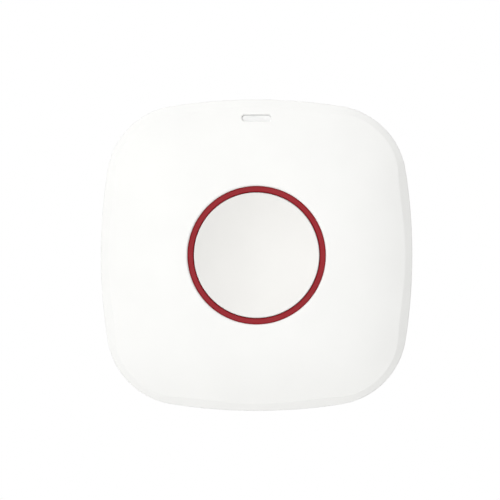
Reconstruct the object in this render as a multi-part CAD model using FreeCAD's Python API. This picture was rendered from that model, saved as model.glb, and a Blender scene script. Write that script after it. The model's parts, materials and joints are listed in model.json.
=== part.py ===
import FreeCAD, Part
import math
import os

from FreeCAD import Vector

# Wall-mounted wireless panic button: a rounded-square domed housing with a dished round cap in a red ring.
# Everything is built lying on its back, in millimetres: X to the right, Y up the wall, Z out of the wall.
# stand_up() then turns each piece into the frame of the part: Z up, the wall plane at Y = 0, the face to -Y.

# Outline of the housing, seen from the front: four shallow arcs joined by four tight ones
body_half = 43.0
edge_radius = 150.0
corner_radius = 21.3

# Housing walls and the front's form
cover_wall = 1.8
cover_draft = 0.12
bevel_width = 1.9
bevel_height = 1.1
bevel_round = 0.35
crown_rise = 3.4
crown_squareness = 3.54
crown_flatness = 4.0
rear_wall = 2.0
rear_taper = 1.5
rear_height = 10.9
rear_edge_round = 0.9
seam_gap = 0.3
rim_off_wall = 0.5
lip_thickness = 0.8
lip_length = 1.4
lip_clearance = 0.1

# Wall plate and how it hooks into the rear housing
plate_thickness = 2.2
plate_gap = 0.4
plate_wall = 1.7
plate_clearance = 0.4
plate_pocket_depth = 0.7
plate_rib = 2.4
wall_slot_spacing = 60.0
wall_slot_radius = 2.2
wall_slot_length = 9.0
wall_slot_land = 0.8
wall_head_radius = 3.9
head_relief_radius = 4.7
head_relief_depth = 0.7
hook_side_inset = 21.0
hook_top_inset = 20.0
hook_width = 5.0
hook_post = 1.6
hook_nose = 1.8
hook_nose_thickness = 1.3
hook_clearance = 0.15
hook_slide = 4.0
window_clearance = 0.5
lock_lug_width = 8.0
lock_lug_depth = 4.4
lock_lug_height = 7.0
lock_lug_setback = 1.2
lock_screw_level = 4.7
lock_head_sunk = 0.6
pocket_clearance = 0.4
pocket_wall = 1.3
nose_window_margin = 0.2

# Floor, battery, board: the stack that sets the depth, from the wall outwards
floor_thickness = 1.8
contact_sheet = 0.2
contact_floor_gap = 0.4
contact_foot = 3.0
contact_reach = 6.8
leaf_reach = 5.6
leaf_foot = 1.8
leaf_pad = 1.6
leaf_tail = 1.8
leaf_tail_lift = 0.35
leaf_width = 3.0
cell_radius = 12.25
cell_thickness = 5.0
cell_rim_height = 4.1
cell_cap_radius = 10.4
cell_edge = 0.4
cell_y = -12.0
holder_base = 0.7
holder_base_gap = 0.1
holder_wall = 1.4
holder_clearance = 0.2
holder_window = 9.0
holder_opening_radius = 6.5
board_thickness = 1.2
board_inset = 3.6
board_notch_clearance = 1.0

# Key switch on the board, under the middle of the cap
key_body_width = 6.0
key_body_height = 3.2
key_plate_thickness = 0.3
key_radius = 1.7
key_clearance = 0.15
key_stickout = 0.8
key_travel = 0.25
key_well_depth = 2.0
key_length = 2.7
dome_thickness = 0.1
dome_foot_gap = 0.05
dome_flat_radius = 0.15
terminal_width = 0.7
terminal_length = 1.1
terminal_thickness = 0.3
terminal_spacing = 4.5

# Cap, its carrier and the ring that it slides in
button_travel = 1.2
contact_gap = 0.05
stop_gap = 0.1
cap_radius = 17.2
cap_height = 3.3
cap_wall = 1.4
cap_shell = 1.4
cap_dish_depth = 2.5
cap_flat_radius = 0.6
cap_edge_round = 0.25
stem_radius = 2.0
stem_length = 0.9
carrier_web = 1.2
carrier_web_radius = 16.0
carrier_flange = 1.4
carrier_flange_radius = 18.3
carrier_rise = 2.1
spigot_height = 0.7
spigot_width = 0.6
spigot_clearance = 0.15
carrier_hole_radius = 2.6
carrier_hole_distance = 11.0
carrier_hole_count = 6
guide_key_count = 3
guide_key_width = 3.0
guide_key_depth = 0.9
guide_key_clearance = 0.2
ring_inner_clearance = 0.15
ring_width = 1.62
ring_cap_step = 0.2
ring_recess = 0.45
ring_edge_round = 0.25
ring_flange = 1.0
ring_flange_width = 1.8
opening_clearance = 0.04
opening_edge_round = 0.5
collar_width = 3.2

# Frame that clamps the ring and carries the return spring
frame_board_gap = 0.9
frame_floor = 1.0
frame_wall = 1.8
frame_bore_clearance = 0.3
frame_hole_radius = 4.9
frame_lug_distance = 24.6
frame_lug_radius = 2.7
frame_lug_thickness = 1.6
frame_lug_drop = 2.4
frame_lug_angles = (30.0, 150.0, 270.0)
frame_window_radius = 2.6
frame_window_distance = 13.0
frame_window_count = 6
spring_wire = 0.5
spring_radius = 6.2
spring_turns = 4
spring_pilot_clearance = 0.25
spring_pilot_wall = 0.8
spring_pilot_height = 1.0

# Tamper switch and the plunger that the wall holds in
tamper_y = 20.0
tamper_travel = 1.2
tamper_flush = 0.05
tamper_rod_radius = 1.5
tamper_rod_clearance = 0.1
tamper_collar_radius = 3.4
tamper_collar = 0.8
tamper_guide_clearance = 0.3
tamper_guide_wall = 1.0
tamper_guide_height = 2.0
tamper_tip_radius = 1.1
tamper_tip = 1.3
tamper_body_width = 3.0
tamper_key_radius = 0.7
tamper_key_clearance = 0.1
tamper_key_stickout = 0.9
tamper_hole_radius = 3.0
tamper_well_roof = 0.4
tamper_spring_wire = 0.35
tamper_spring_radius = 2.9
tamper_spring_turns = 4

# Indicator slot near the top edge, its light pipe and its lamp
slot_edge = 5.3
slot_length = 8.0
slot_height = 1.7
slot_edge_round = 0.4
slot_clearance = 0.04
slot_recess = 0.4
window_shift = 0.03
pad_margin = 0.3
pad_clearance = 0.15
pipe_flange_length = 12.4
pipe_flange_height = 3.4
pipe_flange = 1.0
pipe_post_length = 5.0
pipe_lamp_gap = 0.5
pipe_pin_radius = 0.6
pipe_pin_x = 5.3
pipe_pin_clearance = 0.1
lamp_length = 3.2
lamp_width = 1.8
lamp_height = 1.4

# Fasteners: head radius, head height, shank radius and shank length
housing_screw = {"head": 2.2, "cap": 1.6, "shank": 1.2, "length": 11.5}
frame_screw = {"head": 1.8, "cap": 1.2, "shank": 0.95, "length": 4.4}
board_screw = {"head": 1.8, "cap": 1.2, "shank": 0.95, "length": 4.8}
lock_screw = {"head": 2.1, "cap": 1.3, "shank": 1.2, "length": 5.4}
drive_width = 0.5
drive_depth = 0.6
head_clearance = 0.25
shank_clearance = 0.05
through_clearance = 0.25
screw_end_gap = 0.6
boss_wall = 1.2
web_thickness = 1.2
web_depth = 1.5
housing_screw_inset = 12.6
board_screw_top_inset = 10.0
board_screw_side_inset = 21.0
housing_screw_shelf = 1.6

# Parts on the front of the board: distance in from the side, height up the wall,
# then length along X, width along Y and height
radio_inset, radio_y, radio_size = 14.0, 12.0, (12.0, 13.0, 2.2)
shield_sheet, shield_round = 0.2, 0.6
chip_inset, chip_y, chip_size = 14.0, 12.0, (7.0, 7.0, 0.9)
crystal_y, crystal_size = 4.5, (3.2, 2.5, 0.8)
capacitor_inset, capacitor_y = 13.5, -12.0
capacitor_radius, capacitor_height = 3.15, 5.4
capacitor_base, capacitor_base_height = 6.8, 0.8
passive_size = (1.6, 0.8, 0.6)
passive_spacing = 2.2
passive_inset = 12.0
passive_right_levels = (19.5, -21.0)
passive_left_level = 1.0
passive_row_count = 3
antenna_inset, antenna_y = 12.0, -13.0
antenna_length = 18.0
antenna_height = 4.6
antenna_strip = 2.2
antenna_sheet = 0.4
antenna_legs = (0.0, 5.0)

# Levels off the wall, each from the piece below it
floor_bottom = plate_thickness + plate_gap
floor_top = floor_bottom + floor_thickness
cell_bottom = floor_top + contact_floor_gap + contact_sheet
cell_top = cell_bottom + cell_thickness
board_bottom = cell_top + holder_base_gap + holder_base
board_top = board_bottom + board_thickness
key_body_top = board_top + key_body_height
key_plate_top = key_body_top + key_plate_thickness
key_top = key_plate_top + key_stickout
stem_tip = key_top + button_travel - key_travel + contact_gap
carrier_bottom = stem_tip + stem_length
carrier_web_top = carrier_bottom + carrier_web
carrier_top = carrier_bottom + carrier_rise
ring_bottom = carrier_top + stop_gap
seat_level = ring_bottom + ring_flange
cap_rim = carrier_top + cap_height
ring_top = cap_rim - ring_cap_step
frame_bottom = board_top + frame_board_gap
frame_floor_top = frame_bottom + frame_floor
lug_top = ring_bottom - frame_lug_drop
ring_inner = cap_radius + ring_inner_clearance
ring_outer = ring_inner + ring_width
opening_radius = ring_outer + opening_clearance
ring_flange_radius = ring_outer + ring_flange_width
collar_radius = opening_radius + collar_width
frame_bore = carrier_flange_radius + frame_bore_clearance
frame_radius = frame_bore + frame_wall
crown_half = body_half - cover_draft - bevel_width
housing_screw_at = body_half - housing_screw_inset
board_screw_x = body_half - board_screw_side_inset
board_screw_y = body_half - board_screw_top_inset
hook_x = body_half - hook_side_inset
hook_y = body_half - hook_top_inset
slot_y = body_half - slot_edge
radio_at = (radio_inset - body_half, radio_y)
chip_at = (body_half - chip_inset, chip_y)
crystal_at = (body_half - chip_inset, crystal_y)
capacitor_at = (body_half - capacitor_inset, capacitor_y)
antenna_at = (antenna_inset - body_half, antenna_y)


def crown_drop(x, y):
    """How far the domed front lies below its highest point, at a place seen from the front."""
    squareness = crown_squareness
    level = (abs(x) / crown_half) ** squareness + (abs(y) / crown_half) ** squareness
    return crown_rise * level ** (crown_flatness / squareness)


crown_top = ring_top + ring_recess + crown_drop(opening_radius, 0)
bevel_top = crown_top - crown_rise
bevel_bottom = bevel_top - bevel_height
skirt_bottom = rear_height + seam_gap
plate_inset = rear_taper + plate_wall + plate_clearance
pad_drop = crown_drop(pipe_flange_length / 2, slot_y + pipe_flange_height / 2)
pad_level = crown_top - pad_drop - cover_wall - pad_clearance
pipe_bottom = board_top + lamp_height + pipe_lamp_gap
tamper_collar_bottom = floor_top + tamper_travel + contact_gap
tamper_top = tamper_collar_bottom + tamper_collar + tamper_tip
tamper_body_bottom = tamper_top + tamper_key_stickout


def arc(centre, radius, start, end, level):
    """An arc in a level plane, between two angles in degrees."""
    points = []
    for angle in (start, (start + end) / 2, end):
        turn = math.radians(angle)
        points.append(Vector(centre[0] + radius * math.cos(turn), centre[1] + radius * math.sin(turn), level))
    return Part.Arc(*points).toShape()


def outline(inset, level):
    """The housing's rounded-square outline, moved inwards by inset, in the plane at that level."""
    side = body_half - edge_radius
    reach = edge_radius - corner_radius
    corner = (side + math.sqrt(2 * reach ** 2 - side ** 2)) / 2
    joint = math.degrees(math.atan2(corner, corner - side))
    edges = []
    for quarter in range(4):
        turn = 90 * quarter
        c, s = round(math.cos(math.radians(turn))), round(math.sin(math.radians(turn)))
        side_centre = (side * c, side * s)
        corner_centre = (corner * c - corner * s, corner * s + corner * c)
        edges.append(arc(side_centre, edge_radius - inset, turn - joint, turn + joint, level))
        edges.append(arc(corner_centre, corner_radius - inset, turn + joint, turn + 90 - joint, level))
    return Part.Wire(edges)


def prism(inset, low, high):
    """A straight block with the housing's outline."""
    return Part.Face(outline(inset, low)).extrude(Vector(0, 0, high - low))


def taper(low_inset, low, high_inset, high):
    """A block whose outline moves in or out evenly between two levels."""
    return Part.makeLoft([outline(low_inset, low), outline(high_inset, high)], True, True)


def cylinder(radius, low, high, at=(0, 0)):
    return Part.makeCylinder(radius, high - low, Vector(at[0], at[1], low))


def tube(outer, inner, low, high, at=(0, 0)):
    return cylinder(outer, low, high, at).cut(cylinder(inner, low, high, at))


def block(size_x, size_y, low, high, at=(0, 0)):
    corner = Vector(at[0] - size_x / 2, at[1] - size_y / 2, low)
    return Part.makeBox(size_x, size_y, high - low, corner)


def stadium(length, height, low, high, at=(0, 0)):
    """A block with fully round ends, lying along X."""
    radius = height / 2
    reach = length / 2 - radius
    ends = [cylinder(radius, low, high, (at[0] + side * reach, at[1])) for side in (-1, 1)]
    return ends[0].fuse([block(2 * reach, height, low, high, at), ends[1]]).removeSplitter()


def turned(points):
    """A solid turned about the Z axis from (radius, level) points, with an arc given as (through, end)."""
    edges = []
    last = points[0]
    for point in points[1:] + points[:1]:
        start = Vector(last[0], 0, last[1])
        if isinstance(point[0], tuple):
            through, end = point
            middle, finish = Vector(through[0], 0, through[1]), Vector(end[0], 0, end[1])
            edges.append(Part.Arc(start, middle, finish).toShape())
            last = end
        else:
            edges.append(Part.LineSegment(start, Vector(point[0], 0, point[1])).toShape())
            last = point
    return Part.Face(Part.Wire(edges)).revolve(Vector(0, 0, 0), Vector(0, 0, 1), 360)


def around(shape, count):
    """Copies of a shape, evenly spaced about the Z axis."""
    copies = []
    for step in range(count):
        copy = shape.copy()
        copy.rotate(Vector(0, 0, 0), Vector(0, 0, 1), 360 * step / count)
        copies.append(copy)
    return copies


def corners(x, y):
    return [(x, y), (-x, y), (-x, -y), (x, -y)]


def web(start, end, thickness, low, high):
    """A thin upright wall between two places."""
    run = Vector(end[0] - start[0], end[1] - start[1], 0)
    wall = block(run.Length, thickness, low, high, (run.Length / 2, 0))
    wall.rotate(Vector(0, 0, 0), Vector(0, 0, 1), math.degrees(math.atan2(run.y, run.x)))
    wall.translate(Vector(start[0], start[1], 0))
    return wall


def polar(radius, angle):
    return (radius * math.cos(math.radians(angle)), radius * math.sin(math.radians(angle)))


def above_crown(drop):
    """The space above the domed front, lowered by drop, as a tool to cut with."""
    reach = body_half + 1
    steps = 20
    grid = []
    for row in range(steps + 1):
        x = -reach + 2 * reach * row / steps
        line = []
        for column in range(steps + 1):
            y = -reach + 2 * reach * column / steps
            line.append(Vector(x, y, crown_top - drop - crown_drop(x, y)))
        grid.append(line)
    surface = Part.BSplineSurface()
    surface.interpolate(grid)
    return surface.toShape().extrude(Vector(0, 0, 3 * crown_rise + drop))


def round_edges(shape, radius, wanted):
    """Rounds the edges that the wanted test picks."""
    chosen = [edge for edge in shape.Edges if wanted(edge)]
    return shape.makeFillet(radius, chosen)


def screw(form, at, level, up=True):
    """A pan-head screw with its head's seat at level, and its shank pointing up or down."""
    head, cap, shank, length = form["head"], form["cap"], form["shank"], form["length"]
    tip = shank / 2
    body = turned([
        (0, length), (shank - tip / 2, length), (shank, length - tip), (shank, 0), (head, 0),
        (head, -cap / 2), (head - cap / 2, -cap), (0, -cap),
    ])
    for size in ((head, drive_width), (drive_width, head)):
        body = body.cut(block(size[0], size[1], -cap, drive_depth - cap))
    if not up:
        body.rotate(Vector(0, 0, 0), Vector(1, 0, 0), 180)
    body.translate(Vector(at[0], at[1], level))
    return body


def bent_strip(points, thickness, width):
    """A strip of sheet metal bent along points of (X, Z): its width lies along Y, its sheet on the left."""
    path = [Vector(x, 0, z) for x, z in points]
    offset = []
    for index, point in enumerate(path):
        before = (point - path[index - 1]).normalize() if index else None
        after = (path[index + 1] - point).normalize() if index + 1 < len(path) else None
        before, after = before or after, after or before
        normal = Vector(-before.z - after.z, 0, before.x + after.x)
        share = normal.normalize().dot(Vector(-after.z, 0, after.x))
        offset.append(point + normal * (thickness / share))
    section = Part.Face(Part.makePolygon(path + offset[::-1] + path[:1]))
    section.translate(Vector(0, -width / 2, 0))
    return section.extrude(Vector(0, width, 0))


def coil_spring(radius, wire, low, high, turns, at=(0, 0)):
    """A compression spring of square wire with ground ends, seated between two levels."""
    pitch = (high - low) / turns
    path = Part.makeHelix(pitch, high - low + pitch, radius)
    path.translate(Vector(0, 0, low - pitch / 2))
    half = wire / 2
    section = Part.makePolygon([
        Vector(radius + x * half, 0, low - pitch / 2 + z * half)
        for x, z in ((-1, -1), (1, -1), (1, 1), (-1, 1), (-1, -1))
    ])
    coil = Part.Wire(path.Edges).makePipeShell([section], True, True)
    ground = coil.common(cylinder(radius + wire, low, high))
    ground.translate(Vector(at[0], at[1], 0))
    return ground


def wall_hooks():
    """Where each hook's post starts: its middle in X, and its lower face in Y."""
    return [(hook_x, hook_y), (-hook_x, hook_y)]


def wall_slots():
    return [(-wall_slot_spacing / 2, 0), (wall_slot_spacing / 2, 0)]


def make_mounting_plate():
    """The plate that stays on the wall: slots for two screws, two hooks and a lug for the lock screw."""
    plate = prism(plate_inset, 0, plate_thickness)
    rim = plate_inset + plate_rib
    pocket_floor = plate_thickness - plate_pocket_depth
    pocket = prism(rim, pocket_floor, plate_thickness)
    keep = []
    for x, y in wall_slots():
        keep.append(stadium(wall_slot_length + 2 * plate_rib + 2 * (wall_head_radius - wall_slot_radius),
                            2 * (wall_head_radius + plate_rib), 0, plate_thickness, (x, y)))
    for x, y in wall_hooks():
        keep.append(block(hook_width + 2 * plate_rib, hook_post + 2 * plate_rib, 0, plate_thickness, (x, y)))
    keep.append(cylinder(tamper_hole_radius + plate_rib, 0, plate_thickness, (0, tamper_y)))
    span = 2 * body_half
    keep.append(block(span, plate_rib, 0, plate_thickness))
    for side in (1, -1):
        keep.append(block(plate_rib, span, 0, plate_thickness, (side * hook_x / 2, 0)))
    lug_pad = lock_lug_width + 2 * plate_rib
    keep.append(block(lug_pad, 4 * plate_rib, 0, plate_thickness, (0, plate_inset - body_half)))
    plate = plate.cut(pocket.cut(keep))
    plate = plate.cut(cylinder(tamper_hole_radius, 0, plate_thickness, (0, tamper_y)))
    for place in wall_slots():
        plate = plate.cut(stadium(wall_slot_length, 2 * wall_slot_radius, 0, plate_thickness, place))
        plate = plate.cut(sink(place))
    # A window under each hook's nose, as the mould needs
    for x, y in wall_hooks():
        middle = (x, y + hook_post + hook_nose / 2)
        plate = plate.cut(block(hook_width + 2 * nose_window_margin, hook_nose, 0, plate_thickness, middle))
    return plate.fuse([hook(place) for place in wall_hooks()]).fuse(lock_lug()).removeSplitter()


def sink(place):
    """The countersink that takes a wall screw's head along the slot."""
    reach = wall_slot_length / 2 - wall_slot_radius
    depth = plate_thickness - wall_slot_land
    cones = []
    for side in (-1, 1):
        base = Vector(place[0] + side * reach, place[1], wall_slot_land)
        cones.append(Part.makeCone(wall_slot_radius, wall_head_radius, depth, base))
    low, high = wall_slot_radius, wall_head_radius
    section = Part.makePolygon([
        Vector(place[0] - reach, place[1] + y, z)
        for y, z in ((-low, wall_slot_land), (low, wall_slot_land), (high, plate_thickness),
                     (-high, plate_thickness), (-low, wall_slot_land))
    ])
    return cones[0].fuse([Part.Face(section).extrude(Vector(2 * reach, 0, 0)), cones[1]])


def hook(place):
    """A post with a nose that points up the wall and reaches over the housing's floor."""
    x, y = place
    nose_bottom = floor_top + hook_clearance
    nose_top = nose_bottom + hook_nose_thickness
    back = y + hook_post
    tip = back + hook_nose
    points = [
        (y, 0), (back, 0), (back, nose_bottom), (tip, nose_bottom),
        (tip, nose_bottom + hook_nose_thickness / 2), (back, nose_top), (y, nose_top),
    ]
    path = [Vector(x - hook_width / 2, across, level) for across, level in points]
    return Part.Face(Part.makePolygon(path + path[:1])).extrude(Vector(hook_width, 0, 0))


def lock_lug():
    """The block at the plate's lower edge that the lock screw bites into."""
    middle = lug_middle()
    lug = block(lock_lug_width, lock_lug_depth, 0, lock_lug_height, (0, middle))
    pilot = Part.makeCylinder(lock_screw["shank"] + shank_clearance, 2 * lock_lug_depth,
                              Vector(0, middle - lock_lug_depth, lock_screw_level), Vector(0, 1, 0))
    return lug.cut(pilot)


def lug_middle():
    """Where the lock lug's middle lies up the wall."""
    return plate_inset + lock_lug_setback + lock_lug_depth / 2 - body_half


def lock_seat():
    """How far down the wall the lock screw's head sits, in a counterbore of the rear housing."""
    slope = rear_taper / (rear_height - rim_off_wall)
    surface = (rear_height - lock_screw_level) * slope
    return surface + lock_screw["cap"] + lock_head_sunk - body_half


def make_lock_screw():
    body = screw(lock_screw, (0, 0), 0)
    body.rotate(Vector(0, 0, 0), Vector(1, 0, 0), -90)
    body.translate(Vector(0, lock_seat(), lock_screw_level))
    return body


def housing_screw_seat():
    return floor_bottom + housing_screw["cap"] + head_clearance


def make_rear_housing():
    """The back shell: tapered wall, recess for the wall plate, bosses, windows for the hooks."""
    outer = taper(rear_taper, rim_off_wall, 0, rear_height)
    outer = round_edges(outer, rear_edge_round, lambda edge: edge.BoundBox.ZMax < rim_off_wall + 0.01)
    slope = rear_taper / (rear_height - rim_off_wall)
    floor_inset = rear_wall + slope * (rear_height - floor_top)
    cavity = taper(floor_inset, floor_top, rear_wall, rear_height)
    fill = []
    seat_top = housing_screw_seat() + housing_screw_shelf
    for place in corners(housing_screw_at, housing_screw_at):
        boss = housing_screw["shank"] + through_clearance + boss_wall
        head_boss = housing_screw["head"] + head_clearance + boss_wall
        fill.append(cylinder(head_boss, floor_top, seat_top, place))
        fill.append(cylinder(boss, floor_top, rear_height, place))
        fill.append(web(place, corner_reach(place), web_thickness, floor_top, board_bottom))
    post = board_screw["shank"] + shank_clearance + boss_wall
    for place in corners(board_screw_x, board_screw_y):
        fill.append(cylinder(post, floor_top, board_bottom, place))
        fill.append(block(2 * rear_wall, boss_wall, floor_top, board_bottom - boss_wall, place))
    guide = tamper_collar_radius + tamper_guide_clearance
    guide_top = tamper_collar_bottom + tamper_collar + tamper_guide_height
    fill.append(tube(guide + tamper_guide_wall, guide, floor_top, guide_top, (0, tamper_y)))
    pocket_top = lock_lug_height + pocket_clearance
    pocket_room = 2 * (pocket_clearance + pocket_wall)
    fill.append(block(lock_lug_width + pocket_room, lock_lug_depth + pocket_room + lock_lug_setback,
                      floor_top, pocket_top + pocket_wall, (0, lug_middle() - lock_lug_setback / 2)))
    shell = outer.cut(cavity.cut(fill))
    shell = shell.cut(prism(rear_taper + plate_wall, 0, floor_bottom))
    rebate_bottom = rear_height - lip_length - lip_clearance
    shell = shell.cut(prism(lip_thickness + lip_clearance, rebate_bottom, rear_height)
                      .cut(prism(rear_wall + 1, 0, rear_height)))
    for place in corners(housing_screw_at, housing_screw_at):
        shell = shell.cut(cylinder(housing_screw["head"] + head_clearance, 0, housing_screw_seat(), place))
        shell = shell.cut(cylinder(housing_screw["shank"] + through_clearance, 0, rear_height, place))
    for place in corners(board_screw_x, board_screw_y):
        pilot_bottom = board_top - board_screw["length"] - screw_end_gap
        shell = shell.cut(cylinder(board_screw["shank"] + shank_clearance, pilot_bottom, board_bottom, place))
    for x, y in wall_hooks():
        low = y - hook_slide
        high = y + hook_post + hook_clearance
        middle = (x, (low + high) / 2)
        shell = shell.cut(block(hook_width + 2 * window_clearance, high - low, 0, floor_top, middle))
    for place in wall_slots():
        length = wall_slot_length + 2 * (head_relief_radius - wall_slot_radius)
        shell = shell.cut(stadium(length, 2 * head_relief_radius, 0, floor_bottom + head_relief_depth, place))
    shell = shell.cut(cylinder(tamper_rod_radius + tamper_rod_clearance, 0, floor_top, (0, tamper_y)))
    shell = shell.cut(block(lock_lug_width + 2 * pocket_clearance, lock_lug_depth + 2 * pocket_clearance,
                            0, pocket_top, (0, lug_middle())))
    bore = Part.makeCylinder(lock_screw["shank"] + through_clearance, lug_middle() + body_half,
                             Vector(0, -body_half, lock_screw_level), Vector(0, 1, 0))
    sunk = Part.makeCylinder(lock_screw["head"] + head_clearance, lock_seat() + body_half,
                             Vector(0, -body_half, lock_screw_level), Vector(0, 1, 0))
    return shell.cut([bore, sunk]).removeSplitter()


def corner_reach(place):
    """A place beyond the housing's corner, straight out from a corner boss."""
    return (math.copysign(body_half, place[0]), math.copysign(body_half, place[1]))


def frame_lug_places():
    return [polar(frame_lug_distance, angle) for angle in frame_lug_angles]


def on_bevel_line(edge):
    """Whether an edge runs along the bottom or the top of the front's bevel."""
    box = edge.BoundBox
    along_bottom = abs(box.ZMin - bevel_bottom) < 0.01 and abs(box.ZMax - bevel_bottom) < 0.01
    return along_bottom or box.ZMin > bevel_bottom + bevel_height / 4


def on_opening_edge(edge):
    """Whether an edge is the rim where the round opening meets the domed face."""
    box = edge.BoundBox
    return box.ZMin > seat_level + opening_edge_round and abs(box.XMax - opening_radius) < 0.01


def on_slot_edge(edge):
    """Whether an edge is part of the rim where the slot meets the domed face."""
    box = edge.BoundBox
    within = box.XLength < slot_length and abs(box.Center.x) < slot_length / 2
    beside = abs(box.Center.y - slot_y) < slot_height
    return within and beside and box.ZMin > pad_level + cover_wall / 2


def make_front_cover():
    """The domed front shell with a bevelled edge, the round opening, and bosses and pads inside."""
    lean = bevel_width / bevel_height
    summit = crown_top + 1
    outer = taper(0, skirt_bottom, cover_draft, bevel_bottom)
    outer = outer.fuse(taper(cover_draft, bevel_bottom, cover_draft + lean * (summit - bevel_bottom), summit))
    outer = outer.removeSplitter().cut(above_crown(0))
    outer = round_edges(outer, bevel_round, lambda edge: on_bevel_line(edge))
    turn = bevel_bottom - cover_wall * (math.hypot(1, lean) - 1) / lean
    inset = cover_wall + cover_draft
    cavity = taper(cover_wall, skirt_bottom, inset, turn)
    cavity = cavity.fuse(taper(inset, turn, inset + lean * (summit - turn), summit))
    cavity = cavity.removeSplitter().cut(above_crown(cover_wall))
    fill = [cylinder(collar_radius, seat_level, crown_top)]
    boss = housing_screw["shank"] + shank_clearance + boss_wall
    for place in corners(housing_screw_at, housing_screw_at):
        fill.append(cylinder(boss, skirt_bottom, crown_top, place))
        fill.append(web((0, 0), place, web_thickness, bevel_top - web_depth, crown_top))
        fill.append(web(place, corner_reach(place), web_thickness, bevel_bottom - web_depth, crown_top))
    for place in frame_lug_places():
        fill.append(cylinder(frame_screw["shank"] + shank_clearance + boss_wall, lug_top, crown_top, place))
    fill.append(block(pipe_flange_length + 2 * pad_margin, pipe_flange_height + 2 * pad_margin,
                      pad_level, crown_top, (0, slot_y)))
    cover = outer.cut(cavity.cut(fill))
    # The lip that sits inside the rear housing's wall, and the boss ends that meet the rear bosses
    lip_top = skirt_bottom + lip_length
    lip = prism(lip_thickness + 2 * lip_clearance, rear_height - lip_length, lip_top)
    cover = cover.fuse(lip.cut(prism(inset, 0, lip_top)))
    cover = cover.fuse([cylinder(boss, rear_height, skirt_bottom, place)
                        for place in corners(housing_screw_at, housing_screw_at)])
    cover = cover.cut(cylinder(opening_radius, seat_level, crown_top))
    cover = cover.cut(cylinder(collar_radius, 0, seat_level))
    cover = round_edges(cover, opening_edge_round, on_opening_edge)
    cover = cover.cut(stadium(slot_length, slot_height, pad_level, crown_top, (0, slot_y)))
    cover = round_edges(cover, slot_edge_round, on_slot_edge)
    for place in corners(housing_screw_at, housing_screw_at):
        end = housing_screw_seat() + housing_screw["length"] + screw_end_gap
        cover = cover.cut(cylinder(housing_screw["shank"] + shank_clearance, 0, end, place))
    for place in frame_lug_places():
        end = lug_top - frame_lug_thickness + frame_screw["length"] + screw_end_gap
        cover = cover.cut(cylinder(frame_screw["shank"] + shank_clearance, lug_top, end, place))
    cover = cover.removeSplitter()
    pins = [cylinder(pipe_pin_radius, pad_level - pipe_flange, pad_level, (side * pipe_pin_x, slot_y))
            for side in (-1, 1)]
    return cover.fuse(pins).removeSplitter()


def make_trim_ring():
    """The red ring round the cap, with a flange that the frame clamps against the cover."""
    chamfer = ring_edge_round
    return turned([
        (ring_inner, ring_bottom), (ring_flange_radius, ring_bottom), (ring_flange_radius, seat_level),
        (ring_outer, seat_level), (ring_outer, ring_top - chamfer), (ring_outer - chamfer, ring_top),
        (ring_inner + chamfer, ring_top), (ring_inner, ring_top - chamfer),
    ])


def make_button_cap():
    """The dished white cap: a thin shell with a skirt that stands on the carrier. Its very middle is flat."""
    edge = cap_radius - cap_edge_round
    inner = cap_radius - cap_wall
    flat = cap_flat_radius
    bend = cap_edge_round * (1 - math.sqrt(0.5))
    dish = (edge ** 2 + cap_dish_depth ** 2) / (2 * cap_dish_depth)
    centre = cap_rim - cap_dish_depth + dish

    def top(radius):
        return centre - math.sqrt(dish ** 2 - radius ** 2)

    def underside(radius):
        return centre - math.sqrt((dish + cap_shell) ** 2 - radius ** 2)

    return turned([
        (inner, carrier_top), (cap_radius, carrier_top), (cap_radius, cap_rim - cap_edge_round),
        ((cap_radius - bend, cap_rim - bend), (edge, cap_rim)),
        ((edge / 2, top(edge / 2)), (flat, top(flat))), (0, top(flat)),
        (0, underside(flat)), (flat, underside(flat)),
        ((inner / 2, underside(inner / 2)), (inner, underside(inner))),
    ])


def make_button_carrier():
    """The plate under the cap: stem over the switch, spring pilot, stop flange and guide keys."""
    spigot = cap_radius - cap_wall - spigot_clearance
    pilot_outer = spring_radius - spring_wire / 2 - spring_pilot_clearance
    flange_bottom = carrier_top - carrier_flange
    carrier = turned([
        (0, stem_tip), (stem_radius, stem_tip), (stem_radius, carrier_bottom),
        (pilot_outer - spring_pilot_wall, carrier_bottom),
        (pilot_outer - spring_pilot_wall, carrier_bottom - spring_pilot_height),
        (pilot_outer, carrier_bottom - spring_pilot_height), (pilot_outer, carrier_bottom),
        (carrier_web_radius, carrier_bottom), (carrier_web_radius, flange_bottom),
        (carrier_flange_radius, flange_bottom), (carrier_flange_radius, carrier_top),
        (spigot, carrier_top), (spigot, carrier_top + spigot_height),
        (spigot - spigot_width, carrier_top + spigot_height), (spigot - spigot_width, carrier_web_top),
        (0, carrier_web_top),
    ])
    hole = cylinder(carrier_hole_radius, carrier_bottom - 1, carrier_top, (carrier_hole_distance, 0))
    carrier = carrier.cut(around(hole, carrier_hole_count))
    key = block(2 * guide_key_depth, guide_key_width, flange_bottom, carrier_top, (carrier_flange_radius, 0))
    return carrier.fuse(around(key, guide_key_count)).removeSplitter()


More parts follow.
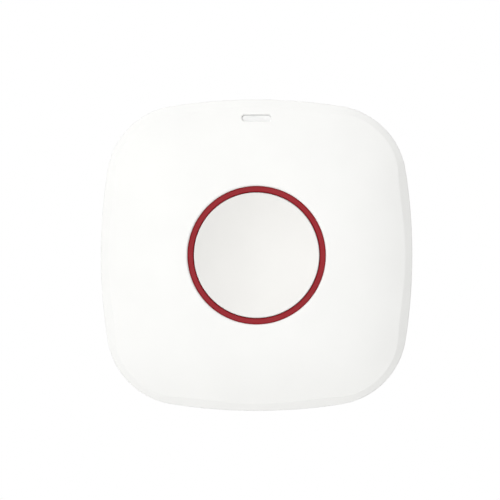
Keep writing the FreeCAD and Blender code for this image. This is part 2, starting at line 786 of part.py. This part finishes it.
def make_button_frame():
    """The cup behind the ring: it clamps the ring, guides the carrier and holds the spring."""
    pilot_outer = spring_radius - spring_wire / 2 - spring_pilot_clearance
    frame = turned([
        (frame_hole_radius, frame_bottom), (frame_radius, frame_bottom), (frame_radius, ring_bottom),
        (frame_bore, ring_bottom), (frame_bore, frame_floor_top), (pilot_outer, frame_floor_top),
        (pilot_outer, frame_floor_top + spring_pilot_height),
        (frame_hole_radius, frame_floor_top + spring_pilot_height),
    ])
    lug_bottom = lug_top - frame_lug_thickness
    for angle in frame_lug_angles:
        ear = cylinder(frame_lug_radius, lug_bottom, lug_top, (frame_lug_distance, 0))
        middle = (frame_bore + frame_wall / 2 + frame_lug_distance) / 2
        ear = ear.fuse(block(frame_lug_distance - frame_bore - frame_wall / 2, 2 * frame_lug_radius,
                             lug_bottom, lug_top, (middle, 0)))
        bore = frame_screw["shank"] + through_clearance
        ear = ear.cut(cylinder(bore, lug_bottom, lug_top, (frame_lug_distance, 0)))
        ear.rotate(Vector(0, 0, 0), Vector(0, 0, 1), angle)
        frame = frame.fuse(ear)
    reach = carrier_flange_radius + guide_key_depth + guide_key_clearance
    slot_bottom = carrier_top - carrier_flange - button_travel - 2 * guide_key_clearance
    slot = block(reach - frame_bore + 1, guide_key_width + 2 * guide_key_clearance,
                 slot_bottom, ring_bottom, ((reach + frame_bore - 1) / 2, 0))
    frame = frame.cut(around(slot, guide_key_count))
    window = cylinder(frame_window_radius, frame_bottom, frame_floor_top, (frame_window_distance, 0))
    return frame.cut(around(window, frame_window_count)).removeSplitter()


def make_main_board():
    """The circuit board, notched round the housing's corner bosses."""
    board = prism(board_inset, board_bottom, board_top)
    notch = housing_screw["shank"] + through_clearance + boss_wall + board_notch_clearance
    for place in corners(housing_screw_at, housing_screw_at):
        board = board.cut(corner_notch(place, notch, board_bottom, board_top))
    for place in corners(board_screw_x, board_screw_y):
        board = board.cut(cylinder(board_screw["shank"] + through_clearance, board_bottom, board_top, place))
    return board.removeSplitter()


def corner_notch(place, radius, low, high):
    """A notch that opens outwards from a corner boss, with its inner corner round."""
    x, y = place
    side_x, side_y = math.copysign(1, x), math.copysign(1, y)
    reach = body_half
    across = block(reach, reach, low, high, (x + side_x * reach / 2, y + side_y * (reach / 2 - radius)))
    along = block(reach, reach, low, high, (x + side_x * (reach / 2 - radius), y + side_y * reach / 2))
    return cylinder(radius, low, high, place).fuse([across, along])


def make_key_switch_base():
    base = block(key_body_width, key_body_width, board_top, key_body_top)
    return base.cut(cylinder(key_radius + key_clearance, key_body_top - key_well_depth, key_body_top))


def make_key_switch_plate():
    plate = block(key_body_width, key_body_width, key_body_top, key_plate_top)
    return plate.cut(cylinder(key_radius + key_clearance, key_body_top, key_plate_top))


def make_key_switch_plunger():
    round_off = key_clearance
    return turned([
        (0, key_top - key_length), (key_radius, key_top - key_length), (key_radius, key_top - round_off),
        (key_radius - round_off, key_top), (0, key_top),
    ])


def make_contact_dome():
    """The key switch's snap dome: its foot on the well's floor, its flat top under the plunger."""
    foot = key_radius
    bottom = key_body_top - key_well_depth
    height = key_top - key_length - dome_foot_gap - bottom
    sphere = (foot ** 2 + (height - dome_thickness) ** 2) / (2 * (height - dome_thickness))

    def level(radius):
        return bottom + height - dome_thickness - sphere + math.sqrt(sphere ** 2 - radius ** 2)

    half = foot / 2
    flat = dome_flat_radius
    return turned([
        (0, level(flat)), (flat, level(flat)), ((half, level(half)), (foot, bottom)),
        (foot, bottom + dome_thickness),
        ((half, level(half) + dome_thickness), (flat, level(flat) + dome_thickness)),
        (0, level(flat) + dome_thickness),
    ])


def make_key_switch_terminals():
    reach = key_body_width / 2 + terminal_length / 2
    places = corners(reach, terminal_spacing / 2)
    top = board_top + terminal_thickness
    return [block(terminal_length, terminal_width, board_top, top, place) for place in places]


def make_tamper_switch_base():
    base = block(tamper_body_width, tamper_body_width, tamper_body_bottom, board_bottom, (0, tamper_y))
    roof = board_bottom - tamper_well_roof
    well = tamper_key_radius + tamper_key_clearance
    return base.cut(cylinder(well, tamper_body_bottom, roof, (0, tamper_y)))


def make_tamper_switch_key():
    top = board_bottom - tamper_well_roof - contact_gap
    return cylinder(tamper_key_radius, tamper_top, top, (0, tamper_y))


def make_tamper_plunger():
    """The pin that the wall holds in: its collar stops on the floor when the housing comes off the wall."""
    collar_top = tamper_collar_bottom + tamper_collar
    plunger = turned([
        (0, tamper_flush), (tamper_rod_radius - tamper_rod_clearance, tamper_flush),
        (tamper_rod_radius, tamper_flush + tamper_rod_clearance), (tamper_rod_radius, tamper_collar_bottom),
        (tamper_collar_radius, tamper_collar_bottom), (tamper_collar_radius, collar_top),
        (tamper_tip_radius, collar_top), (tamper_tip_radius, tamper_top), (0, tamper_top),
    ])
    plunger.translate(Vector(0, tamper_y, 0))
    return plunger


def make_battery_cell():
    """A lithium coin cell: the can faces the wall and the smaller cap faces the board."""
    rim_top = cell_bottom + cell_rim_height
    cell = turned([
        (0, cell_bottom), (cell_radius - cell_edge, cell_bottom), (cell_radius, cell_bottom + cell_edge),
        (cell_radius, rim_top), (cell_cap_radius + cell_edge, rim_top + cell_edge),
        (cell_cap_radius, rim_top + cell_edge), (cell_cap_radius, cell_top - cell_edge / 2),
        (cell_cap_radius - cell_edge / 2, cell_top), (0, cell_top),
    ])
    cell.translate(Vector(0, cell_y, 0))
    return cell


def make_battery_holder():
    """A ring with a thin base on the board, open at both sides for the contact and a fingertip."""
    inner = cell_radius + holder_clearance
    outer = inner + holder_wall
    wall_bottom = cell_bottom + contact_sheet
    holder = turned([
        (holder_opening_radius, board_bottom - holder_base), (inner, board_bottom - holder_base),
        (inner, wall_bottom), (outer, wall_bottom), (outer, board_bottom),
        (holder_opening_radius, board_bottom),
    ])
    gap = block(3 * outer, holder_window, wall_bottom, board_bottom - holder_base)
    holder = holder.cut(gap)
    foot_gap = block(outer, contact_width() + 2 * holder_clearance, wall_bottom, board_bottom,
                     (cell_radius + outer / 2, 0))
    holder = holder.cut(foot_gap)
    holder.translate(Vector(0, cell_y, 0))
    return holder


def contact_width():
    return holder_window / 2


def make_positive_contact():
    """The sprung strip that hooks from the board round the cell's edge and under its can."""
    out = cell_radius + holder_clearance
    path = [
        (out + contact_foot, board_bottom), (out, board_bottom), (out, cell_bottom),
        (contact_reach, cell_bottom),
    ]
    strip = bent_strip(path, contact_sheet, contact_width())
    strip.translate(Vector(0, cell_y, 0))
    return strip


def make_negative_contact():
    """The bowed leaf between the board and the cell's cap."""
    foot = board_bottom - contact_sheet
    path = [
        (-leaf_reach, foot), (leaf_foot - leaf_reach, foot), (-leaf_pad / 2, cell_top),
        (leaf_pad / 2, cell_top), (leaf_pad / 2 + leaf_tail, cell_top + leaf_tail_lift),
    ]
    leaf = bent_strip(path, contact_sheet, leaf_width)
    leaf.translate(Vector(0, cell_y, 0))
    return leaf


def make_light_pipe():
    """The white window, against the slot's lower right, with a flange below and a post down to the lamp."""
    length, height = slot_length - 2 * slot_clearance, slot_height - 2 * slot_clearance
    at = (window_shift, slot_y - window_shift)
    window = stadium(length, height, pad_level, crown_top, at).cut(above_crown(slot_recess))
    flange = block(pipe_flange_length, pipe_flange_height, pad_level - pipe_flange, pad_level, (0, slot_y))
    hole = pipe_pin_radius + pipe_pin_clearance
    for side in (-1, 1):
        flange = flange.cut(cylinder(hole, 0, pad_level, (side * pipe_pin_x, slot_y)))
    post = Part.makeLoft([
        Part.makePolygon([Vector(x * long / 2, slot_y + y * wide / 2, z)
                          for x, y in ((-1, -1), (1, -1), (1, 1), (-1, 1), (-1, -1))])
        for long, wide, z in ((lamp_length, lamp_width, pipe_bottom),
                              (pipe_post_length, height, pad_level - pipe_flange))
    ], True, True)
    return window.fuse([flange, post]).removeSplitter()


def on_board(at, size):
    return block(size[0], size[1], board_top, board_top + size[2], at)


def make_radio_shield():
    """The pressed metal can over the radio, open underneath."""
    can = on_board(radio_at, radio_size)
    can = can.makeFillet(shield_round, [edge for edge in can.Edges if edge.Length < radio_size[2] + 0.01])
    inside = block(radio_size[0] - 2 * shield_sheet, radio_size[1] - 2 * shield_sheet,
                   board_top, board_top + radio_size[2] - shield_sheet, radio_at)
    return can.cut(inside)


def make_bulk_capacitor():
    base = block(capacitor_base, capacitor_base, board_top, board_top + capacitor_base_height, capacitor_at)
    bottom = board_top + capacitor_base_height
    return base.fuse(cylinder(capacitor_radius, bottom, board_top + capacitor_height, capacitor_at))


def make_board_passives():
    """Small resistors and capacitors in short rows."""
    chips = []
    rows = [(body_half - passive_inset, level, -1) for level in passive_right_levels]
    rows.append((passive_inset - body_half, passive_left_level, 1))
    for x, y, side in rows:
        for step in range(passive_row_count):
            chips.append(on_board((x + side * passive_spacing * step, y), passive_size))
    return chips


def make_antenna():
    """A stamped strip that stands on two legs above the board's edge."""
    x, y = antenna_at
    top = board_top + antenna_height
    strip = block(antenna_strip, antenna_length, top - antenna_sheet, top, (x, y))
    pieces = []
    leg_x = x + antenna_strip / 2 - antenna_sheet / 2
    for step in antenna_legs:
        leg_y = y + antenna_length / 2 - antenna_strip / 2 - step
        pieces.append(block(antenna_sheet, antenna_strip, board_top, top, (leg_x, leg_y)))
    return strip.fuse(pieces).removeSplitter()


def stand_up(shape):
    """Turns a piece from lying on its back to hanging on the wall."""
    placed = shape.copy()
    placed.rotate(Vector(0, 0, 0), Vector(1, 0, 0), 90)
    return placed


def save(name, pieces):
    pieces = pieces if isinstance(pieces, list) else [pieces]
    solids = [solid for piece in pieces for solid in stand_up(piece).Solids]
    shape = solids[0] if len(solids) == 1 else Part.makeCompound(solids)
    print(f"{name}: {len(solids)} solids, {shape.Volume:.1f} mm3, valid {shape.isValid()}")
    shape.exportStep(os.path.join("parts", name + ".step"))


def main():
    os.makedirs("parts", exist_ok=True)
    save("mounting_plate", make_mounting_plate())
    save("rear_housing", make_rear_housing())
    save("front_cover", make_front_cover())
    save("trim_ring", make_trim_ring())
    save("light_pipe", make_light_pipe())
    save("button_cap", make_button_cap())
    save("button_carrier", make_button_carrier())
    save("button_frame", make_button_frame())
    save("return_spring",
         coil_spring(spring_radius, spring_wire, frame_floor_top, carrier_bottom, spring_turns))
    save("main_board", make_main_board())
    save("key_switch_base", make_key_switch_base())
    save("key_switch_plate", make_key_switch_plate())
    save("key_switch_plunger", make_key_switch_plunger())
    save("key_switch_terminals", make_key_switch_terminals())
    save("contact_dome", make_contact_dome())
    save("tamper_switch_base", make_tamper_switch_base())
    save("tamper_switch_key", make_tamper_switch_key())
    save("tamper_plunger", make_tamper_plunger())
    save("tamper_spring", coil_spring(tamper_spring_radius, tamper_spring_wire,
                                      tamper_collar_bottom + tamper_collar, board_bottom,
                                      tamper_spring_turns, (0, tamper_y)))
    save("battery_cell", make_battery_cell())
    save("battery_holder", make_battery_holder())
    save("positive_contact", make_positive_contact())
    save("negative_contact", make_negative_contact())
    save("radio_shield", make_radio_shield())
    save("microcontroller", on_board(chip_at, chip_size))
    save("crystal", on_board(crystal_at, crystal_size))
    save("bulk_capacitor", make_bulk_capacitor())
    save("board_passives", make_board_passives())
    save("antenna", make_antenna())
    save("indicator_lamp", on_board((0, slot_y), (lamp_length, lamp_width, lamp_height)))
    save("housing_screws", [screw(housing_screw, place, housing_screw_seat())
                            for place in corners(housing_screw_at, housing_screw_at)])
    save("frame_screws", [screw(frame_screw, place, lug_top - frame_lug_thickness)
                          for place in frame_lug_places()])
    save("board_screws", [screw(board_screw, place, board_top, up=False)
                          for place in corners(board_screw_x, board_screw_y)])
    save("lock_screw", make_lock_screw())


main()
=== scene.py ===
import json
import math

import bpy
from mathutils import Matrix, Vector

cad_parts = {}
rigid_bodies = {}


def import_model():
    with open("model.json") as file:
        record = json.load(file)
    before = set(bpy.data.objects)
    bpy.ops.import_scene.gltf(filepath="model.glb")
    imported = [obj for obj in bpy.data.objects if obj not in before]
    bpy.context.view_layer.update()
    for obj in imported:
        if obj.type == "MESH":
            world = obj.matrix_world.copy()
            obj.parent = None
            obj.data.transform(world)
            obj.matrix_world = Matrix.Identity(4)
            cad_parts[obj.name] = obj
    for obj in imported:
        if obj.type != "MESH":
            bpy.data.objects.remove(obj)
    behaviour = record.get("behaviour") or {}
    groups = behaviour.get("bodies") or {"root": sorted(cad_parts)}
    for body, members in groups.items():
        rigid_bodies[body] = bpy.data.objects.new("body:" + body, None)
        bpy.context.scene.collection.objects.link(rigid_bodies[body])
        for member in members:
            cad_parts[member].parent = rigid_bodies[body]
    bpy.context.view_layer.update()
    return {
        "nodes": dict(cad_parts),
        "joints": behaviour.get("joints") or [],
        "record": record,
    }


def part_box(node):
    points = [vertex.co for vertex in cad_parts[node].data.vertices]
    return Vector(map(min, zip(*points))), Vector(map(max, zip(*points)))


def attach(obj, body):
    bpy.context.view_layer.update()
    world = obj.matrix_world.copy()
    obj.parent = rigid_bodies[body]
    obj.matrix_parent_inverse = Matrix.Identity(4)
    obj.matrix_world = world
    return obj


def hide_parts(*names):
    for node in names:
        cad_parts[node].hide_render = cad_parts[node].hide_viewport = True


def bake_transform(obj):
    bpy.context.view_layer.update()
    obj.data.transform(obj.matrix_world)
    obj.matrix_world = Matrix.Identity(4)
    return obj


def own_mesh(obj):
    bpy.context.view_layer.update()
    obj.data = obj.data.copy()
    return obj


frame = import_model()
slots = {row["node"]: row["material_slot"] for row in frame["record"]["subparts"]}
scene = bpy.context.scene
scene.view_settings.view_transform = "Standard"

# The photograph: its frame, and where the housing's outline lies in it, in pixels
PHOTO_SIZE = 500
OUTLINE_WIDTH = 311.4
OUTLINE_CENTRE = (256.6, 255.2)

# The camera: its distance from that outline, which lies less than OUTLINE_DEPTH behind the front, and how
# far it sees, all in metres, and the width of its sensor in millimetres
CAMERA_DISTANCE = 1.2
OUTLINE_DEPTH = 0.006
CLIP_END = 50.0
SENSOR = 36.0

# Lamps: where each stands, in metres from the wall plate's centre, its diameter in metres and its power
# in watts
LAMPS = {
    "front_lamp": ((-0.28, -2.0, 0.1), 1.2, 18.2),
    "top_lamp": ((-0.3, -0.4, 2.0), 1.4, 11.5),
    "left_lamp": ((-2.0, -0.9, 0.3), 1.4, 7.1),
    "back_lamp": ((0.5, 2.0, 0.4), 1.2, 7.0),
}

# The world's strength where it lights the button, and where it is seen, in which case 1 is white
WORLD_LIGHT = 0.405
WORLD_SEEN = 1.0
WHITE = (1.0, 1.0, 1.0, 1.0)

# The floor: its distance below the wall plate's centre, its width and the size of its mottling, in metres
FLOOR_DROP = 1.2
FLOOR_SIZE = 12.0
FLOOR_MOTTLING = 0.4
# The light that it adds where it is seen, so that it looks nearly white
FLOOR_GLOW = 0.3


def linear(red, green, blue):
    """A colour seen on a screen, 0 to 255 each, as the linear colour that a shader takes."""
    channels = []
    for value in (red, green, blue):
        share = value / 255
        channels.append(share / 12.92 if share <= 0.04045 else ((share + 0.055) / 1.055) ** 2.4)
    return (*channels, 1.0)


def scaled(colour, factor):
    """The colour times that factor, and at most white."""
    return (*(min(1.0, channel * factor) for channel in colour[:3]), 1.0)


class Nodes:
    """A material's node tree, with short ways to add what the surfaces here share."""

    def __init__(self, name):
        self.material = bpy.data.materials.new(name)
        self.material.use_nodes = True
        self.tree = self.material.node_tree
        self.shader = self.tree.nodes["Principled BSDF"]
        self.place = self.add("ShaderNodeTexCoord").outputs["Object"]

    def add(self, kind, **values):
        node = self.tree.nodes.new(kind)
        for key, value in values.items():
            setattr(node, key, value)
        return node

    def join(self, output, target):
        self.tree.links.new(output, target)

    def set(self, **values):
        """Sets the shader's own sockets, whose names have a space for each underscore."""
        for key, value in values.items():
            self.shader.inputs[key.replace("_", " ")].default_value = value

    def mapped(self, **values):
        """The place on the surface, with its Scale or Rotation changed."""
        node = self.add("ShaderNodeMapping")
        self.join(self.place, node.inputs["Vector"])
        for key, value in values.items():
            node.inputs[key].default_value = value
        return node.outputs["Vector"]

    def noise(self, size, detail=3.0, roughness=0.55):
        """Noise whose grains are about size metres across."""
        node = self.add("ShaderNodeTexNoise")
        self.join(self.place, node.inputs["Vector"])
        node.inputs["Scale"].default_value = 1 / size
        node.inputs["Detail"].default_value = detail
        node.inputs["Roughness"].default_value = roughness
        return node.outputs["Fac"]

    def spread(self, value, low=0.0, high=1.0, start=0.3, end=0.7):
        """The value, stretched from start and end, between which noise mostly lies, to low and high."""
        node = self.add("ShaderNodeMapRange")
        node.inputs["From Min"].default_value = start
        node.inputs["From Max"].default_value = end
        node.inputs["To Min"].default_value = low
        node.inputs["To Max"].default_value = high
        self.join(value, node.inputs["Value"])
        return node.outputs["Result"]

    def product(self, first, second):
        """One output times another."""
        node = self.add("ShaderNodeMath", operation="MULTIPLY")
        self.join(first, node.inputs[0])
        self.join(second, node.inputs[1])
        return node.outputs["Value"]

    def tint(self, factor, first, second):
        """The colour between two, by a factor that varies over the surface."""
        node = self.add("ShaderNodeMix", data_type="RGBA")
        self.join(factor, node.inputs["Factor"])
        node.inputs["A"].default_value = first
        node.inputs["B"].default_value = second
        self.join(node.outputs["Result"], self.shader.inputs["Base Color"])

    def gloss(self, noise, low, high):
        """A roughness that the noise varies between low and high."""
        self.join(self.spread(noise, low, high), self.shader.inputs["Roughness"])

    def bump(self, height, depth, below=None):
        """Relief of that depth in metres, on top of an earlier relief if one is given."""
        node = self.add("ShaderNodeBump")
        node.inputs["Distance"].default_value = depth
        self.join(height, node.inputs["Height"])
        if below:
            self.join(below, node.inputs["Normal"])
        self.join(node.outputs["Normal"], self.shader.inputs["Normal"])
        return node.outputs["Normal"]


def moulding(name, colour, roughness=0.5, depth=0.000004, specular=0.5, mottle=0.012):
    """Moulded plastic: a fine eroded grain, faint flow mottling and uneven gloss."""
    flow_size = 0.018
    gloss_size = 0.004
    wave_size = 0.006
    grain_size = 0.00022
    glossier = 0.03
    duller = 0.04
    nodes = Nodes(name)
    nodes.set(Specular_IOR_Level=specular)
    flow = nodes.spread(nodes.noise(flow_size, detail=2.0))
    nodes.tint(flow, scaled(colour, 1 - mottle), scaled(colour, 1 + mottle))
    nodes.gloss(nodes.noise(gloss_size), roughness - glossier, roughness + duller)
    waves = nodes.bump(nodes.noise(wave_size, detail=1.0), depth)
    nodes.bump(nodes.noise(grain_size, detail=2.0, roughness=0.6), depth, below=waves)
    return nodes.material


def metal(name, colour, roughness=0.28, streak=(1.0, 1.0, 1.0)):
    """Sheet or wire metal with fine drawn lines; streak stretches them along an axis."""
    line_size = 0.00015
    line_depth = 0.000002
    stain_size = 0.003
    stain_shade = 0.9
    glossier = 0.08
    duller = 0.1
    nodes = Nodes(name)
    nodes.set(Metallic=1.0)
    nodes.place = nodes.mapped(Scale=streak)
    lines = nodes.noise(line_size, detail=2.0)
    nodes.tint(nodes.spread(nodes.noise(stain_size)), scaled(colour, stain_shade), colour)
    nodes.gloss(lines, roughness - glossier, roughness + duller)
    nodes.bump(lines, line_depth)
    return nodes.material


def resist(name):
    """Solder resist over copper: thin straight tracks in places, and even fields of copper between them."""
    track_length = 0.0083
    track_pitch = 0.0007
    track_gap = 0.00012
    track_height = 0.00002
    field_size = 0.016
    gloss_size = 0.002
    nodes = Nodes(name)
    # The tracks lie as rows of bricks in the XY plane, and are turned into the board's
    tracks = nodes.add("ShaderNodeTexBrick", offset=0.37)
    nodes.join(nodes.mapped(Rotation=(math.pi / 2, 0, 0)), tracks.inputs["Vector"])
    tracks.inputs["Scale"].default_value = 1.0
    tracks.inputs["Brick Width"].default_value = track_length
    tracks.inputs["Row Height"].default_value = track_pitch
    tracks.inputs["Mortar Size"].default_value = track_gap
    tracks.inputs["Mortar Smooth"].default_value = 0.2
    between_fields = nodes.spread(nodes.noise(field_size, detail=0.0), start=0.5, end=0.51)
    gaps = nodes.product(tracks.outputs["Fac"], between_fields)
    nodes.tint(gaps, linear(28, 96, 56), linear(14, 62, 38))
    nodes.gloss(nodes.noise(gloss_size), 0.3, 0.42)
    nodes.bump(gaps, -track_height)
    return nodes.material


def milky(name):
    """The light pipe: smooth milky plastic that lets a little light in."""
    light_depth = 0.002
    shade_size = 0.004
    gloss_size = 0.002
    ripple_size = 0.0006
    ripple_depth = 0.000002
    nodes = Nodes(name)
    nodes.set(Subsurface_Weight=0.3, Subsurface_Scale=light_depth, Subsurface_Radius=(1.0, 1.0, 1.0))
    nodes.set(Coat_Weight=0.2, Coat_Roughness=0.12)
    nodes.tint(nodes.spread(nodes.noise(shade_size)), linear(250, 251, 250), linear(253, 253, 252))
    nodes.gloss(nodes.noise(gloss_size), 0.2, 0.28)
    nodes.bump(nodes.noise(ripple_size, detail=2.0), ripple_depth)
    return nodes.material


def make_materials():
    """The material of each slot, with plastics in screen colours and metals in shares of reflected light."""
    return {
        "front_shell": moulding("front_shell", linear(246, 246, 244)),
        "rear_shell": moulding("rear_shell", linear(244, 243, 240), roughness=0.55, depth=0.000007),
        "wall_plate": moulding("wall_plate", linear(240, 239, 236), roughness=0.55, depth=0.000009),
        "cap": moulding("cap", linear(239, 238, 235), depth=0.000003),
        "ring": moulding(
            "ring", linear(148, 24, 34), roughness=0.45, depth=0.000003, specular=0.15, mottle=0.05,
        ),
        "window": milky("window"),
        "carrier": moulding("carrier", linear(214, 214, 212)),
        "tamper_pin": moulding("tamper_pin", linear(205, 205, 202), roughness=0.4),
        "board": resist("board"),
        "black_moulding": moulding("black_moulding", linear(38, 38, 41), depth=0.000008, mottle=0.1),
        "key": moulding("key", linear(56, 56, 58), roughness=0.35, mottle=0.08),
        "spring_steel": metal("spring_steel", (0.62, 0.62, 0.63, 1.0), roughness=0.22),
        "screw_steel": metal("screw_steel", (0.55, 0.55, 0.57, 1.0), roughness=0.3),
        "cell_steel": metal("cell_steel", (0.7, 0.7, 0.71, 1.0), roughness=0.24, streak=(1.0, 1.0, 0.1)),
        "plated_contact": metal(
            "plated_contact", (0.72, 0.68, 0.6, 1.0), roughness=0.25, streak=(0.1, 1.0, 1.0),
        ),
        "tinned_steel": metal("tinned_steel", (0.68, 0.68, 0.68, 1.0), roughness=0.33),
        "capacitor_can": metal("capacitor_can", (0.74, 0.74, 0.75, 1.0), roughness=0.3),
        "chip_body": moulding("chip_body", linear(122, 104, 84), roughness=0.55, mottle=0.15),
        "lamp": moulding("lamp", linear(240, 228, 170), roughness=0.25, mottle=0.04),
    }


def dress(materials):
    """Gives each CAD node the material of its slot."""
    for node, slot in slots.items():
        mesh = frame["nodes"][node].data
        mesh.materials.clear()
        mesh.materials.append(materials[slot])


def make_springs():
    """The springs and the snap dome as pieces of their own in place of their CAD nodes: each is carried
    whole by the joint's parent body, with a mesh of its own, or fixed where it stands.
    """
    for joint in frame["joints"]:
        for row in joint["deforming_nodes"]:
            node = row["node"]
            low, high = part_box(node)
            fixed = Vector((0, row["fixed_end_y_m"], 0))
            moving = Vector((0, low.y + high.y - fixed.y, 0))
            piece = bpy.data.objects.new("flexing_" + node, frame["nodes"][node].data.copy())
            scene.collection.objects.link(piece)
            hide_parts(node)
            # These joints move along +Y, which shortens a piece ahead of its fixed end and else lengthens it
            if moving.y < fixed.y:
                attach(piece, joint["parent"])
                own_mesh(piece)
            else:
                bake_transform(piece)


def make_camera():
    """A long lens straight ahead, placed so that the outline falls where the photograph has it."""
    cover = frame["nodes"]["front_cover"].data
    front = min(vertex.co.y for vertex in cover.vertices)
    near = [vertex.co for vertex in cover.vertices if vertex.co.y < front + OUTLINE_DEPTH]
    edge = max(near, key=lambda place: abs(place.x))
    metres_per_pixel = 2 * abs(edge.x) / OUTLINE_WIDTH
    data = bpy.data.cameras.new("camera")
    data.sensor_width = SENSOR
    data.lens = SENSOR * CAMERA_DISTANCE / (PHOTO_SIZE * metres_per_pixel)
    data.clip_end = CLIP_END
    camera = bpy.data.objects.new("camera", data)
    scene.collection.objects.link(camera)
    aside = (PHOTO_SIZE / 2 - OUTLINE_CENTRE[0]) * metres_per_pixel
    above = (OUTLINE_CENTRE[1] - PHOTO_SIZE / 2) * metres_per_pixel
    camera.location = (aside, edge.y - CAMERA_DISTANCE, above)
    camera.rotation_euler = (math.pi / 2, 0, 0)
    scene.camera = camera


def area_light(name, place, size, power):
    """A round lamp that faces the button."""
    data = bpy.data.lights.new(name, "AREA")
    data.shape = "DISK"
    data.size = size
    data.energy = power
    light = bpy.data.objects.new(name, data)
    light.location = place
    light.rotation_euler = (-Vector(place)).to_track_quat("-Z", "Y").to_euler()
    light.visible_camera = False
    scene.collection.objects.link(light)


def make_lamps():
    """Broad lamps ahead, above, beside and behind."""
    for name, (place, size, power) in LAMPS.items():
        area_light(name, place, size, power)


def seen_directly(tree):
    """1 where the camera sees the surface, straight or in metal and glass, and 0 where it lights others."""
    rays = tree.nodes.new("ShaderNodeLightPath")
    value = rays.outputs["Is Camera Ray"]
    for name in ("Is Glossy Ray", "Is Transmission Ray"):
        either = tree.nodes.new("ShaderNodeMath")
        either.operation = "MAXIMUM"
        tree.links.new(value, either.inputs[0])
        tree.links.new(rays.outputs[name], either.inputs[1])
        value = either.outputs["Value"]
    return value


def white_background(tree, strength):
    """A white background of that strength."""
    background = tree.nodes.new("ShaderNodeBackground")
    background.inputs["Color"].default_value = WHITE
    background.inputs["Strength"].default_value = strength
    return background.outputs["Background"]


def make_world():
    """An even white world, which lights the button less strongly than it is seen."""
    world = bpy.data.worlds.new("studio")
    scene.world = world
    world.use_nodes = True
    tree = world.node_tree
    tree.nodes.clear()
    mix = tree.nodes.new("ShaderNodeMixShader")
    tree.links.new(seen_directly(tree), mix.inputs[0])
    tree.links.new(white_background(tree, WORLD_LIGHT), mix.inputs[1])
    tree.links.new(white_background(tree, WORLD_SEEN), mix.inputs[2])
    output = tree.nodes.new("ShaderNodeOutputWorld")
    tree.links.new(mix.outputs[0], output.inputs["Surface"])


def floor_material():
    """A pale dull floor, with a little light of its own where it is seen."""
    nodes = Nodes("floor")
    nodes.set(Roughness=0.9, Emission_Color=WHITE)
    nodes.tint(nodes.spread(nodes.noise(FLOOR_MOTTLING)), linear(243, 243, 242), linear(249, 249, 248))
    glow = nodes.add("ShaderNodeMath", operation="MULTIPLY")
    nodes.join(seen_directly(nodes.tree), glow.inputs[0])
    glow.inputs[1].default_value = FLOOR_GLOW
    nodes.join(glow.outputs["Value"], nodes.shader.inputs["Emission Strength"])
    return nodes.material


def make_floor():
    """The floor, as far below the button as such a button usually hangs above it."""
    half = FLOOR_SIZE / 2
    mesh = bpy.data.meshes.new("floor")
    corners = [(-half, -half, 0), (half, -half, 0), (half, half, 0), (-half, half, 0)]
    mesh.from_pydata(corners, [], [(0, 1, 2, 3)])
    mesh.materials.append(floor_material())
    floor = bpy.data.objects.new("floor", mesh)
    floor.location = (0, 0, -FLOOR_DROP)
    scene.collection.objects.link(floor)


make_camera()
make_lamps()
make_world()
make_floor()
dress(make_materials())
make_springs()
